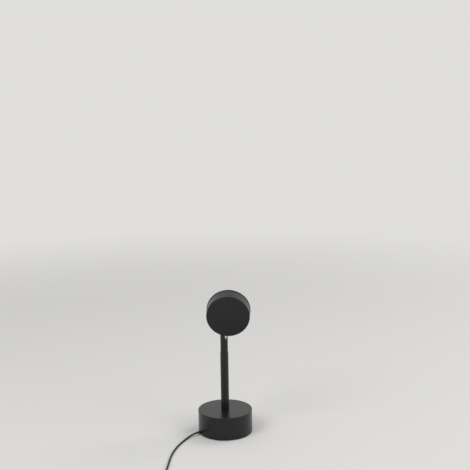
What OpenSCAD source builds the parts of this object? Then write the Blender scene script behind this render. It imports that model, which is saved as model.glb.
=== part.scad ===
// A table projection lamp: a weighted round base, a slim pole with a swivelling neck, and a tilting drum
// head whose lens throws a coloured disc of light.
// Millimetres, +Z up, origin in the middle of the foot pad's underside. The beam leaves the head along +Y,
// the head leans up by rest_tilt, and the cord leaves the base low on the -X side.

/* [Base] */
// Diameter of the base
base_d = 90; // [84:1:110]
// Height of the base shell from its lower rim
base_h = 38; // [34:1:50]
// Side wall of the base shell
base_wall = 2; // [1.5:0.1:3]
// Thickness of the base shell's top
base_top = 3; // [2:0.5:5]
// Radius of the base's top edge
base_edge = 0.8; // [0.4:0.1:1.5]
// Height of the shell's rim above the table
rim_lift = 1; // [0.5:0.1:1.2]
// Thickness of the rubber foot pad
pad_t = 1.5; // [1.2:0.1:2]
// Thickness of the bottom plate
plate_t = 1.2; // [1:0.1:2]
// Thickness of the iron weight
weight_t = 10; // [6:1:12]
// Radius of the circle that the bottom plate's screws stand on
plate_screw_at = 33; // [28:1:34]
// Diameter of the bottom plate's screws
plate_screw_d = 3; // [2.5:0.5:4]
// Diameter of the bosses that take those screws
boss_d = 9; // [8:0.5:11]

/* [Pole] */
// Outer diameter of the pole
pole_d = 13.5; // [13:0.1:16]
// Wall of the pole
pole_wall = 1; // [0.8:0.1:1.2]
// Length of the pole above the base
pole_len = 99; // [80:1:180]
// Outer diameter of the hollow threaded nipple that ties the pole to the base
nipple_d = 8; // [7:0.5:9]
// Bore of the nipple
nipple_bore = 4.4; // [3.5:0.1:5]
// How far the nipple reaches up into the pole
nipple_up = 12; // [8:1:20]
// Thickness of the nut on the nipple
nut_t = 5; // [3:0.5:6]
// Width of the nut across its flats
nut_af = 13; // [12:0.5:15]
// Length of the nylon bush in the pole's mouth
bush_len = 22; // [14:1:40]
// Thickness of the bush's flange
bush_flange = 1; // [0.8:0.1:2]

/* [Neck] */
// Diameter of the neck
neck_d = 12.4; // [11:0.1:12.6]
// Diameter of the spigot that turns in the bush
spigot_d = 9; // [8.4:0.1:9.4]
// Height of the tilt pivot above the bush
neck_rise = 32.5; // [26:0.5:50]
// Width of the fork's slot
fork_gap = 2.4; // [2.2:0.1:2.8]
// Sideways offset of the fork's slot from the neck's centre
fork_shift = 3; // [2.8:0.1:3.2]
// Depth of the fork's slot below the pivot
fork_depth = 11.4; // [9:0.1:16]
// Diameter of the pivot screw
pivot_d = 3; // [2.5:0.1:3.4]

/* [Head] */
// Diameter of the head's drum
head_d = 71.2; // [66:0.2:76]
// Wall of the head's shell
head_wall = 2; // [1.5:0.1:2.5]
// Thickness of the head's back
head_back = 2.2; // [1.8:0.1:3]
// Depth of the head from its back to the front of its bezel
head_len = 26; // [26:0.5:32]
// Thickness of the bezel's front lip
lip_t = 2.6; // [2:0.1:3.4]
// How far the bezel stands out round the shell
bezel_step = 0.7; // [0.4:0.1:1.2]
// Depth of the bezel's spigot inside the shell
spigot_in = 3.4; // [3:0.1:3.5]
// Opening in the front of the bezel
lip_opening = 55; // [50:1:56]
// Diameter of the lens
lens_d = 58; // [57:0.1:58.2]
// Thickness of the lens's edge
lens_edge = 1.8; // [1.5:0.1:2]
// Height of the lens's dome
lens_dome = 8; // [5:0.5:10]
// Thickness of the heat sink
sink_t = 3; // [2:0.5:3]
// Height of the bosses behind the heat sink
sink_lift = 1.5; // [1:0.1:2]
// Diameter of the circuit board that carries the light source
board_d = 32; // [30:1:38]
// Diameter of the colour filter
filter_d = 20.8; // [18:0.2:24]
// Distance from the circuit board to the colour filter
filter_at = 7.9; // [6:0.1:9]
// Sideways offset of the head from the pole
head_shift = 7.9; // [7.4:0.1:8.4]
// How far the tilt pivot lies inside the drum's outer skin
pivot_inset = 0.4; // [0:0.1:0.8]
// Upward tilt of the beam as the lamp stands
rest_tilt = 10.5; // [0:0.5:30]
// Largest tilt either way from level
tilt_max = 45; // [30:1:45]

/* [Cord] */
// Diameter of the cord
cord_d = 3; // [2.6:0.1:3.2]
// Direction in which the cord leaves the base, turned from +X
cord_angle = 204; // [190:1:220]
// Height of the cord's hole above the base's rim
cord_rise = 3.6; // [3.4:0.1:6]
// Length of the tapered relief outside the base
relief_len = 5; // [4:0.5:10]
// Diameter of the thin lead inside the lamp
lead_d = 2.2; // [1.6:0.1:2.3]
// Mean diameter of the put-away coil
coil_mean_d = 34.5; // [33:0.5:36]
// Loops in each layer of the coil
coil_turns = 2.625; // [2.125:0.5:2.625]
// Layers of the coil
coil_layers = 4; // [2:2:4]
// Distance between neighbouring turns
coil_pitch = 3.5; // [3.5:0.1:4]
// Thickness of the strap round the coil
strap_t = 0.6; // [0.5:0.1:1]
// Width of the strap round the coil
strap_w = 8; // [6:1:10]

/* [Switch and plug] */
// Length of the cord switch
switch_l = 54; // [46:1:60]
// Width of the cord switch
switch_w = 17; // [15:0.5:20]
// Height of the cord switch
switch_h = 12; // [11:0.5:14]
// Length of its button
button_l = 14; // [10:1:18]
// Width of its button
button_w = 8; // [6:0.5:9]
// Travel of its button
button_travel = 1.2; // [0.8:0.1:1.6]
// Length of the plug's moulded body
plug_l = 24; // [20:1:30]
// Width of the plug's moulded body
plug_w = 15.6; // [15:0.2:18]
// Height of the plug's moulded body
plug_h = 8.2; // [7.6:0.2:9]

/* [Hidden] */
$fn = 96;
eps = 0.01;
fit_gap = 0.05; // pieces that are pressed or glued together
run_gap = 0.05; // shafts that turn in a bore
face_gap = 0.1; // flat faces that slide past each other
air_gap = 0.3; // curved faces of different pieces
black = [0.06, 0.06, 0.065];
dark_plastic = [0.09, 0.09, 0.09];
steel = [0.62, 0.63, 0.65];
iron = [0.25, 0.25, 0.26];
alloy = [0.78, 0.79, 0.8];
nylon = [0.85, 0.84, 0.8];
black_nylon = [0.08, 0.08, 0.08];
jacket_black = [0.07, 0.07, 0.075];

// base, from the table up
base_r = base_d / 2;
base_ri = base_r - base_wall;
base_top_z = rim_lift + base_h;
ceiling_z = base_top_z - base_top;
plate_z = pad_t;
plate_top_z = plate_z + plate_t;
weight_z = ceiling_z - weight_t;
exit_z = rim_lift + cord_rise;
entry_in = 19; // length of jacketed cord inside the base
plate_screw_bite = 6; // thread in the iron legs
plate_screw_l = plate_t + plate_screw_bite;

// grommet sizes that follow the cord
cord_r = cord_d / 2;
lead_r = lead_d / 2;
relief_r = cord_r + 1.1;
relief_tip_r = cord_r + 0.5;
grommet_neck_r = cord_r + 0.9;
grommet_flange_r = cord_r + 1.5;
grommet_flange_t = 1.4;
tie_t = 1.1;
tie_w = 2.6;
notch_w = 2 * grommet_flange_r + 2;
notch_from = base_ri - 8;

// pole and nipple
pole_r = pole_d / 2;
pole_ri = pole_r - pole_wall;
pole_top_z = base_top_z + pole_len;
nipple_r = nipple_d / 2;
nipple_top_z = base_top_z + nipple_up;
washer_t = 1;
washer_z = weight_z - washer_t;
nut_z = washer_z - nut_t;
nipple_z = nut_z - 2;
bush_top_z = pole_top_z + bush_flange;
bush_z = pole_top_z - bush_len;

// neck
neck_r = neck_d / 2;
spigot_r = spigot_d / 2;
neck_z = bush_top_z + face_gap;
pivot_z = bush_top_z + neck_rise;
clip_t = 1;
clip_z = bush_z - face_gap - clip_t;
groove_r = spigot_r - 0.8;
spigot_z = clip_z - 2;
crown_r = neck_r + 0.55; // the crown is rounder than the neck, so that the two meet at an edge
crown_z = pivot_z - 0.5;
neck_sweep_r = crown_r + 0.1;
screw_head_d = pivot_d + 2.5;
screw_head_t = 1.9;
screw_head_x = -neck_r + 0.45;
slot_lo_x = fork_shift - fork_gap / 2;
slot_hi_x = fork_shift + fork_gap / 2;
lead_x = -1.7;
lead_y = pivot_d / 2 + 1.05 + 1.2;
lead_turn_z = bush_top_z + 6;
lead_window = 10.5;
lead_end_z = pivot_z + 3.9;
lead_bore_r = lead_r + 0.25;
lead_turn_r = 10;

// head, measured from the middle of the drum with the beam along +Y
head_r = head_d / 2;
head_ri = head_r - head_wall;
pivot_drop = head_r - pivot_inset;
back_y = -head_len / 2;
front_y = head_len / 2;
seam_y = front_y - lip_t;
inside_y = back_y + head_back;
sink_y = inside_y + sink_lift;
board_y = sink_y + sink_t;
board_t = 1.6;
chip_y = board_y + board_t;
bezel_r = head_r + bezel_step;
bezel_in_r = head_ri - fit_gap;
spigot_y = seam_y - spigot_in;
lens_r = lens_d / 2;
lens_pocket_r = lens_r + fit_gap;
lip_r = lip_opening / 2;
seal_t = 0.4;
lens_y = seam_y - seal_t - lens_edge;
dome_r = lip_r - air_gap;
dome_ball_r = (dome_r * dome_r + lens_dome * lens_dome) / (2 * lens_dome);
sink_r = head_ri - 2.6;
sink_screw_at = 24;
neck_hole_r = neck_r + 0.45;
neck_hole_half = neck_r / cos(tilt_max) + pivot_inset * tan(tilt_max) + 0.5;
filter_r = filter_d / 2;
filter_t = 0.4;
filter_y = chip_y + filter_at;
optic_r = filter_r + 1.6;
optic_wall = 1.2;
optic_foot_r = optic_r + 0.4;
optic_foot_t = 1.4;
optic_rim = 0.8;
optic_mouth_r = 7.4;
optic_ear_r = 2;
optic_screw_at = board_d / 2 - 2.2;
optic_screw_d = 2;
optic_screw_l = optic_foot_t + board_t + 2;
ring_t = 0.6;

// hinge plate and its foot on the heat sink
washer_gap_t = 0.2;
plate_slack = washer_gap_t + 2 * fit_gap;
hinge_t = fork_gap - 2 * plate_slack;
hinge_x = fork_shift - head_shift;
hinge_r = 5.3;
foot_h = 9.4;
foot_lo_z = -pivot_drop + crown_r;
foot_hi_z = foot_lo_z + foot_h;
foot_w = 16;
foot_t = 1.8;
foot_screw_z = (foot_lo_z + foot_hi_z) / 2;
foot_screws_x = [4.5, 12];

// cord: free stretches chosen by hand, beginning at the relief's tip
cord_run_path = [
    [-45.68, -20.34, 4.6], [-48, -21.5, 4.5], [-50.9, -24, 4.05], [-54.2, -27, 3.35], [-57.4, -30.8, 2.65],
    [-60.5, -35.5, 2.05], [-63.4, -40.9, 1.65], [-66, -46.8, 1.5], [-68.8, -53.6, 1.5], [-71.4, -61, 1.5],
    [-73.8, -68.5, 1.5], [-76, -76.4, 1.5], [-77.8, -84.5, 1.5], [-79.3, -92.5, 1.5], [-80.5, -100.5, 1.5], [-81.4, -108.5, 1.5],
    [-82, -116.5, 1.5], [-82.4, -124.5, 1.5], [-82.7, -132.5, 1.5], [-82.9, -140.5, 1.5], [-83.2, -148.5, 1.5],
    [-83.6, -156.5, 1.5], [-84, -164.5, 1.5], [-83.8, -172.5, 1.5], [-82, -180.5, 1.5], [-78, -187.7, 1.8],
    [-72, -193.7, 2.8], [-65, -198, 4.6], [-60, -199.8, 5.8], [-56.5, -200, 6]];
cord_link_path = [[12.5, -200, 6], [16, -200, 5.8], [20, -200, 4.9], [25, -200, 3.2], [29.5, -200, 2.2], [33, -200, 2.1]];
cord_tail_path = [
    [33, -243.8, 12.6], [29.5, -243.8, 12.4], [25, -243.8, 11.2], [20, -243.8, 8.9], [15, -243.8, 6.4],
    [10, -243.8, 4.7], [6, -243.8, 4.1]];
switch_mid = [-22, -200, 0];
plug_at = [6, -243.8, 4.1];
coil_mid = [36, -221.9];

// coil
coil_loops = coil_turns * coil_layers;
coil_step = 24; // rings in each loop
coil_rise = 3.5; // from layer to layer
coil_out_r = (coil_mean_d + coil_turns * coil_pitch) / 2;
coil_in_r = coil_out_r - coil_turns * coil_pitch;
coil_z = cord_r + strap_t;
coil_top_z = coil_z + coil_rise * (coil_layers - 1) + cord_r;

// switch and plug
switch_r = 4;
switch_split_z = switch_h / 2;
switch_wall = 1.6;
switch_edge = 2; // rounding of the case's upper edge
switch_foot_edge = 0.8;
seam_edge = 0.2;
boot_len = 7.5;
boot_r = cord_r + 1.5;
button_rise = 1.3;
button_edge = 0.8;
dimple = 0.3; // depth of the finger dimple
dimple_r = 12;
module_w = 8;
module_h = 4.4;
switch_screw_x = switch_l / 2 - 8;
relief_tail = 9;
plug_corner = 2.4;
plug_edge = 0.8;
usb_w = 12;
usb_h = 4.5;
usb_out = 11.8;
usb_in = 3;
usb_wall = 0.3;
tongue_w = 11.1;
tongue_h = 1.9;

// ---- helpers ----

// points of an arc, for edges in a turned profile
function arc(c, r, from, to, steps = 5) =
    [for (i = [0:steps]) let (a = from + (to - from) * i / steps) [c[0] + r * cos(a), c[1] + r * sin(a)]];

function unit(v) = v / norm(v);

// direction of a path at point i, one-sided at its ends
function heading(path, i) =
    unit(path[min(i + 1, len(path) - 1)] - path[max(i - 1, 0)]);

// one ring of a tube, square to the path, with its first two axes taken from ref
function ring(p, dir, r, sides, ref) =
    let (u = unit(cross(dir, ref)), v = cross(u, dir))
    [for (k = [0:sides - 1]) p + r * (cos(360 * k / sides) * u + sin(360 * k / sides) * v)];

// a solid round tube along a path, as one skin of triangles with flat ends
module sweep(path, r, sides = 8, ref = [0, 0, 1]) {
    n = len(path);
    rings = [for (i = [0:n - 1]) each ring(path[i], heading(path, i), r, sides, ref)];
    walls = [for (i = [0:n - 2]) for (k = [0:sides - 1])
        let (a = i * sides + k, b = i * sides + (k + 1) % sides)
        each [[a, b, b + sides], [a, b + sides, a + sides]]];
    first = [for (k = [1:sides - 2]) [0, k + 1, k]];
    last = [for (k = [1:sides - 2]) let (o = (n - 1) * sides) [o, o + k, o + k + 1]];
    polyhedron(points = rings, faces = [each first, each last, each walls]);
}

module disc(r, h, z = 0) translate([0, 0, z]) cylinder(r = r, h = h);

// a ring from its outer and inner radius
module hoop(r, ri, h, z = 0) translate([0, 0, z])
    difference() {
        cylinder(r = r, h = h);
        translate([0, 0, -1]) cylinder(r = ri, h = h + 2);
    }

module lay_x() rotate([0, 90, 0]) children(); // turns +Z to +X
module lay_y() rotate([-90, 0, 0]) children(); // turns +Z to +Y

// a flat bar with fully round ends, along X
module stadium(l, w, h) {
    translate([-(l - w) / 2, -w / 2, 0]) cube([l - w, w, h]);
    for (s = [-1, 1]) translate([s * (l - w) / 2, 0, 0]) cylinder(d = w, h = h);
}

// a block with its four upright edges rounded
module round_block(l, w, h, r) {
    translate([-l / 2 + r, -w / 2, 0]) cube([l - 2 * r, w, h]);
    translate([-l / 2, -w / 2 + r, 0]) cube([l, w - 2 * r, h]);
    for (x = [-1, 1], y = [-1, 1]) translate([x * (l / 2 - r), y * (w / 2 - r), 0]) cylinder(r = r, h = h);
}

// an upright post whose lower and upper edges are rounded
module soft_post(r, h, lo, hi) rotate_extrude($fn = 32)
    polygon([[0, 0], each arc([r - lo, lo], lo, -90, 0), each arc([r - hi, h - hi], hi, 0, 90), [0, h]]);

// a moulded block: round upright corners, with its lower and upper edges rounded too
module soft_block(l, w, h, r, lo, hi) hull()
    for (x = [-1, 1], y = [-1, 1]) translate([x * (l / 2 - r), y * (w / 2 - r), 0]) soft_post(r, h, lo, hi);

// the same with fully round ends
module soft_stadium(l, w, h, lo, hi) hull()
    for (x = [-1, 1]) translate([x * (l - w) / 2, 0, 0]) soft_post(w / 2, h, lo, hi);

// outline of a ribbed, tapered sleeve along +Y, from radius a to radius b
function ribs(from, len, n, a, b, depth) = [for (i = [0:n - 1])
    let (y = from + len * i / n, r = a + (b - a) * i / n)
    each [[r, y], [r - depth / 6, y + 0.6 * len / n], [r - depth, y + 0.63 * len / n], [r - depth, y + len / n - eps]]];

// places for what lies along the cord's way out of the base
module at_cord_exit(from = 0) rotate([0, 0, cord_angle]) translate([from, 0, exit_z]) children();
module at_plate_screws() for (i = [0:2])
    rotate([0, 0, cord_angle + 60 + 120 * i]) translate([plate_screw_at, 0, 0]) children();
// the head's own frame: middle of the drum, beam along +Y
module in_head() translate([0, 0, pivot_z]) rotate([rest_tilt, 0, 0])
    translate([head_shift, 0, pivot_drop]) children();
module at_sink_screws() for (a = [30, 150, 270]) lay_y() rotate([0, 0, a])
    translate([sink_screw_at, 0, 0]) children();
module at_optic_screws() for (a = [0, 180]) lay_y() rotate([0, 0, a + 20])
    translate([optic_screw_at, 0, 0]) children();
module in_switch() translate(switch_mid) children();
module at_switch_screws() for (s = [-1, 1]) translate([s * switch_screw_x, 0, 0]) children();
module in_plug() translate(plug_at) rotate([0, 0, 180]) children(); // the plug points along -X

// a countersunk screw, head down at z = 0
module flat_screw(d, len, head_t) {
    cylinder(r1 = d * 0.93, r2 = d / 2, h = head_t);
    cylinder(d = d, h = len);
}

// a cheese-head screw with a hexagon socket, head from z = 0 up, shank down
module cap_screw(d, len, head_d, head_t) difference() {
    union() {
        cylinder(d = head_d, h = head_t);
        translate([0, 0, -len]) cylinder(d = d, h = len + eps);
    }
    translate([0, 0, head_t / 2]) cylinder(d = head_d * 0.55, h = head_t, $fn = 6);
}

// ---- base ----

module foot_pad() color([0.12, 0.12, 0.12]) disc(base_ri - grommet_flange_t - 0.8, pad_t);

module base_plate() color(steel)
    difference() {
        disc(base_ri - air_gap, plate_t, plate_z);
        at_plate_screws() {
            translate([0, 0, plate_z - eps]) cylinder(r1 = plate_screw_d * 0.93 + fit_gap,
                r2 = plate_screw_d / 2 + fit_gap, h = plate_t + 2 * eps);
        }
        rotate([0, 0, cord_angle]) translate([notch_from, -notch_w / 2, 0]) cube([base_ri, notch_w, plate_top_z + eps]);
    }

module base_plate_screws() color(steel)
    at_plate_screws() translate([0, 0, plate_z]) flat_screw(plate_screw_d, plate_screw_l, plate_t);

// cast disc under the base's ceiling, with three legs that carry the bottom plate
module base_weight() color(iron)
    difference() {
        union() {
            disc(base_ri - air_gap, weight_t, weight_z);
            at_plate_screws() translate([0, 0, plate_top_z])
                cylinder(d = boss_d, h = weight_z - plate_top_z + eps);
        }
        disc(nipple_r + air_gap, weight_t + 2, weight_z - 1);
        at_plate_screws() translate([0, 0, plate_top_z - 1]) cylinder(d = plate_screw_d + 2 * fit_gap,
            h = plate_screw_bite + 4);
    }

module base_shell() color(black)
    difference() {
        rotate_extrude() polygon([
            [nipple_r + fit_gap, ceiling_z], [base_ri, ceiling_z], [base_ri, rim_lift],
            [base_r - 0.3, rim_lift], [base_r, rim_lift + 0.3],
            each arc([base_r - base_edge, base_top_z - base_edge], base_edge, 0, 90),
            [nipple_r + fit_gap, base_top_z]]);
        at_cord_exit(base_ri - 3) lay_x() cylinder(r = grommet_neck_r + fit_gap, h = base_wall + 6);
    }

// rubber grommet with a ribbed, tapered nose
module cord_grommet() color(dark_plastic)
    at_cord_exit() lay_x() difference() {
        rotate_extrude() polygon([
            [0, base_ri - fit_gap - grommet_flange_t], [grommet_flange_r, base_ri - fit_gap - grommet_flange_t],
            [grommet_flange_r, base_ri - 0.15], [grommet_neck_r, base_ri - 0.15],
            [grommet_neck_r, base_r + fit_gap],
            each ribs(base_r + fit_gap, relief_len, 3, relief_r, relief_tip_r, 0.35),
            [relief_tip_r - 0.1, base_r + relief_len], [0, base_r + relief_len]]);
        translate([0, 0, base_ri - 10]) cylinder(r = cord_r + fit_gap, h = relief_len + 20);
    }

// the jacketed end of the cord, inside the base
module cord_entry() color(dark_plastic)
    at_cord_exit(base_r - entry_in) lay_x() cylinder(r = cord_r, h = entry_in + relief_len);

// cable tie that keeps the cord from pulling out
module cord_stop() color(nylon)
    at_cord_exit(base_ri - 5) {
        lay_x() hoop(cord_r + tie_t, cord_r + fit_gap, tie_w);
        translate([-0.6, -tie_w / 2 - 0.3, cord_r + tie_t - 0.2]) cube([tie_w + 1.2, tie_w + 0.6, 2 * tie_t + 0.2]);
    }

// ---- pole ----

module pole_nipple() color(steel)
    hoop(nipple_r, nipple_bore / 2, nipple_top_z - nipple_z, nipple_z);

module nipple_washer() color(steel) hoop(nut_af / 2 + 2, nipple_r + fit_gap, washer_t, washer_z);

module nipple_nut() color(steel)
    difference() {
        translate([0, 0, nut_z]) cylinder(d = nut_af / cos(30), h = nut_t, $fn = 6);
        disc(nipple_r + fit_gap, nut_t + 2, nut_z - 1);
    }

// threaded insert in the pole's foot
module pole_insert() color(steel)
    hoop(pole_ri - fit_gap, nipple_r + fit_gap, nipple_up + 2, base_top_z);

module pole_tube() color(black)
    rotate_extrude() polygon([
        [pole_ri, base_top_z], [pole_r - 0.2, base_top_z], [pole_r, base_top_z + 0.2],
        [pole_r, pole_top_z - 0.3], [pole_r - 0.3, pole_top_z], [pole_ri, pole_top_z]]);

// nylon bush that the neck turns in
module swivel_bush() color(black_nylon)
    rotate_extrude() polygon([
        [spigot_r + run_gap, bush_z], [pole_ri - fit_gap, bush_z], [pole_ri - fit_gap, pole_top_z],
        [neck_r + 0.1, pole_top_z], [neck_r + 0.1, bush_top_z], [spigot_r + run_gap, bush_top_z]]);

// thin lead from the cord's end to the top of the pole
module base_lead() color(jacket_black) {
    top_z = spigot_z - 1;
    rotate([0, 0, cord_angle]) {
        translate([lead_turn_r, 0, exit_z]) lay_x() cylinder(r = lead_r, h = base_r - entry_in - lead_turn_r);
        translate([lead_turn_r, 0, exit_z + lead_turn_r]) rotate([90, 0, 0]) rotate([0, 0, 180])
            rotate_extrude(angle = 90) translate([lead_turn_r, 0]) circle(r = lead_r);
        translate([0, 0, exit_z + lead_turn_r]) cylinder(r = lead_r, h = top_z - exit_z - lead_turn_r);
    }
}

// ---- neck ----

// turned neck: clip groove and spigot below, crowned fork above
module neck_stem() color(black)
    difference() {
        intersection() {
            rotate_extrude() polygon([
                [0, spigot_z], [spigot_r - 0.4, spigot_z], [spigot_r, spigot_z + 0.4],
                [spigot_r, clip_z - fit_gap], [groove_r, clip_z - fit_gap],
                [groove_r, clip_z + clip_t + fit_gap], [spigot_r, clip_z + clip_t + fit_gap],
                [spigot_r, neck_z], [neck_r - 0.3, neck_z], [neck_r, neck_z + 0.3],
                [neck_r, crown_z + crown_r + 1], [0, crown_z + crown_r + 1]]);
            union() {
                translate([-20, -20, spigot_z - 1]) cube([40, 40, crown_z - spigot_z + 1]);
                translate([-20, 0, crown_z]) lay_x() cylinder(r = crown_r, h = 40);
            }
        }
        // fork
        translate([slot_lo_x, -20, pivot_z - fork_depth]) cube([fork_gap, 40, 40]);
        // pivot: clearance and counterbore on the left, tapped hole on the right
        translate([-20, 0, pivot_z]) lay_x() cylinder(d = pivot_d, h = 40);
        translate([-20, 0, pivot_z]) lay_x()
            cylinder(d = screw_head_d + 0.3, h = 20 + screw_head_x + screw_head_t);
        // way for the lead: up the middle, out through a window, and up a groove in front of the pivot
        disc(lead_r + 0.6, lead_turn_z + 6 - spigot_z + 1, spigot_z - 1);
        translate([lead_x - lead_bore_r, 0.4, lead_turn_z - 1]) cube([lead_bore_r - lead_x + 1.2, 20, lead_window]);
        translate([lead_x - lead_bore_r, lead_y - lead_bore_r + 0.1, lead_turn_z + 1]) cube([2 * lead_bore_r, 20, 60]);
    }

// spring clip under the bush
module neck_clip() color(steel)
    difference() {
        hoop(pole_ri - 0.4, groove_r + fit_gap, clip_t, clip_z);
        translate([0, -groove_r * 0.75, clip_z - 1]) cube([20, groove_r * 1.5, clip_t + 2]);
    }

module neck_lead() color(jacket_black)
    sweep([[0, 0, spigot_z + 0.3], [0, 0, lead_turn_z - 6],
        each [for (u = [0:0.2:1]) [lead_x * ease(u), lead_y * ease(u), lead_turn_z + (lead_window - 1.6) * u]],
        [lead_x, lead_y, lead_end_z - 4], [lead_x, lead_y, lead_end_z]], lead_r - 0.02, 8, [1, 0, 0]);

module pivot_screw() color(steel)
    translate([screw_head_x, 0, pivot_z]) lay_x() rotate([180, 0, 0])
        translate([0, 0, -screw_head_t]) cap_screw(pivot_d - 2 * fit_gap, neck_r + 5.1 - screw_head_t, screw_head_d,
            screw_head_t);

module pivot_washers() color(black_nylon)
    for (x = [slot_lo_x + fit_gap, slot_hi_x - fit_gap - washer_gap_t])
        translate([x, 0, pivot_z]) lay_x() hoop(4.8, pivot_d / 2 + fit_gap, washer_gap_t);

// ---- head ----

// plain drum with a closed back, a mouth for the neck and bosses for the heat sink
module head_shell() color(black)
    in_head() difference() {
        union() {
            lay_y() rotate_extrude() polygon([
                [0, back_y], each arc([head_r - 0.8, back_y + 0.8], 0.8, -90, 0), [head_r, seam_y],
                [head_ri, seam_y], [head_ri, inside_y], [0, inside_y]]);
            translate([0, inside_y - eps, 0]) at_sink_screws() cylinder(r = 3, h = sink_lift + eps);
        }
        translate([0, sink_y - 3.2, 0]) at_sink_screws() cylinder(r = 1.25 + fit_gap, h = 10);
        translate([-head_shift, 0, -pivot_drop - 6]) neck_mouth(12);
    }

// the mouth is as long as the neck's sweep between its two stops
module neck_mouth(h) rotate([0, 0, 90]) stadium(2 * neck_hole_half, 2 * neck_hole_r, h);

// steel leaf on the pivot, bent to a foot on the heat sink
module hinge_plate() color(steel)
    in_head() difference() {
        union() {
            translate([hinge_x - hinge_t / 2, 0, 0]) rotate([90, 0, 90]) linear_extrude(height = hinge_t) {
                translate([0, -pivot_drop]) circle(r = hinge_r);
                polygon([[-hinge_r, -pivot_drop], [hinge_r, -pivot_drop], [4.5, foot_lo_z + 1],
                    [0.5, foot_hi_z], [board_y, foot_hi_z], [board_y, foot_lo_z]]);
            }
            translate([hinge_x - hinge_t / 2, board_y, foot_lo_z]) cube([foot_w, foot_t, foot_hi_z - foot_lo_z]);
        }
        translate([hinge_x - 5, 0, -pivot_drop]) lay_x() cylinder(r = pivot_d / 2 + run_gap, h = 10);
        for (x = foot_screws_x) translate([hinge_x + x, board_y - 1, foot_screw_z]) lay_y()
            cylinder(r = 1.5 + fit_gap, h = 10);
    }

module hinge_plate_screws() color(steel)
    in_head() for (x = foot_screws_x) translate([hinge_x + x, board_y + foot_t, foot_screw_z]) lay_y()
        cap_screw(3 - 2 * fit_gap, foot_t + sink_t - 0.4, 5, 1.6);

module heat_sink() color(alloy)
    in_head() difference() {
        translate([0, sink_y, 0]) lay_y() cylinder(r = sink_r, h = sink_t);
        translate([0, sink_y - 1, 0]) at_sink_screws() cylinder(r = 1.25 + fit_gap, h = 10);
        for (x = foot_screws_x) translate([hinge_x + x, sink_y - 1, foot_screw_z]) lay_y() cylinder(r = 1.5, h = 10);
        translate([0, sink_y - 1, 0]) at_optic_screws() cylinder(d = optic_screw_d, h = 10);
    }

module heat_sink_screws() color(steel)
    in_head() translate([0, board_y, 0]) at_sink_screws() cap_screw(2.5, sink_t + 2.4, 4.5, 1.6);

module led_board() color([0.92, 0.92, 0.9])
    in_head() difference() {
        translate([0, board_y, 0]) lay_y() cylinder(d = board_d, h = board_t);
        translate([0, board_y - 1, 0]) at_optic_screws() cylinder(d = optic_screw_d + 2 * fit_gap, h = 10);
    }

module led_chip() color([0.95, 0.85, 0.35])
    in_head() {
        translate([-5, chip_y, -5]) cube([10, 0.9, 10]);
        translate([0, chip_y + 0.9 - eps, 0]) lay_y() cylinder(r = 3.2, h = 0.5);
    }

// black funnel over the light source, with a seat for the filter
module optic_tube() color(dark_plastic)
    in_head() difference() {
        union() {
            translate([0, chip_y, 0]) lay_y() rotate_extrude() polygon([
                [optic_mouth_r, 0], [optic_foot_r, 0], [optic_foot_r, optic_foot_t],
                [optic_r - optic_wall, optic_foot_t], [optic_r, filter_at - optic_wall],
                [optic_r, filter_at + filter_t + optic_rim], [filter_r + fit_gap, filter_at + filter_t + optic_rim],
                [filter_r + fit_gap, filter_at], [filter_r - optic_wall, filter_at]]);
            translate([0, chip_y, 0]) at_optic_screws() cylinder(r = optic_ear_r, h = optic_foot_t);
        }
        translate([0, chip_y - 1, 0]) at_optic_screws() cylinder(d = optic_screw_d + 2 * fit_gap, h = 10);
    }

module optic_screws() color(steel)
    in_head() translate([0, chip_y + optic_foot_t, 0]) at_optic_screws()
        cap_screw(optic_screw_d - 2 * fit_gap, optic_screw_l, 1.7 * optic_screw_d, 0.6 * optic_screw_d);

module colour_filter() color([0.95, 0.55, 0.2, 0.7])
    in_head() translate([0, filter_y, 0]) lay_y() cylinder(r = filter_r, h = filter_t);

module filter_ring() color(steel)
    in_head() translate([0, filter_y + filter_t, 0]) lay_y() hoop(filter_r, filter_r - optic_wall, ring_t);

// from in front of the pivot to the circuit board, as shares of the way back and of the way up
module head_lead() color(jacket_black) {
    bend = [[0.97, 0], [1, 0.11], [1, 0.27], [0.95, 0.46], [0.86, 0.65], [0.73, 0.82], [0.55, 0.95], [0.35, 0.99],
        [0.19, 1], [0, 1]];
    low = -pivot_drop + crown_r - 0.8;
    high = -board_d / 2 + 5;
    in_head() sweep([for (p = bend) [lead_x - head_shift, chip_y + lead_turn_r * p[0], low + (high - low) * p[1]]],
        lead_r, 8, [1, 0, 0]);
}

// bezel: a front lip that stands out round the drum, and a spigot that holds the lens
module front_bezel() color(black)
    in_head() lay_y() rotate_extrude() polygon([
        [bezel_in_r, spigot_y], [bezel_in_r, seam_y], [bezel_r - 0.4, seam_y], [bezel_r, seam_y + 0.4],
        each arc([bezel_r - 0.6, front_y - 0.6], 0.6, 0, 90), [lip_r + 2.4, front_y], [lip_r, front_y - 1.4],
        [lip_r, seam_y], [lens_pocket_r, seam_y], [lens_pocket_r, spigot_y]]);

module lens_retainer() color(dark_plastic)
    in_head() lay_y() hoop(lens_r, lens_r - 3, lens_y - spigot_y, spigot_y);

// flat-backed lens with a domed front that stands out of the bezel
module lens() color([0.85, 0.9, 0.95, 0.45])
    in_head() lay_y() union() {
        disc(lens_r, lens_edge, lens_y);
        intersection() {
            disc(dome_r, lens_dome + 1, lens_y + lens_edge - eps);
            translate([0, 0, lens_y + lens_edge + lens_dome - dome_ball_r]) sphere(r = dome_ball_r);
        }
    }

module lens_seal() color(dark_plastic)
    in_head() lay_y() hoop(lens_r, lip_r + 0.1, seal_t, lens_y + lens_edge);

// ---- cord ----

module cord_run() color(jacket_black) sweep(cord_run_path, cord_r);

module cord_link() color(jacket_black) sweep(cord_link_path, cord_r);

module cord_tail() color(jacket_black) sweep(cord_tail_path, cord_r);

function ease(u) = u <= 0 ? 0 : u >= 1 ? 1 : u * u * (3 - 2 * u);

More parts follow.
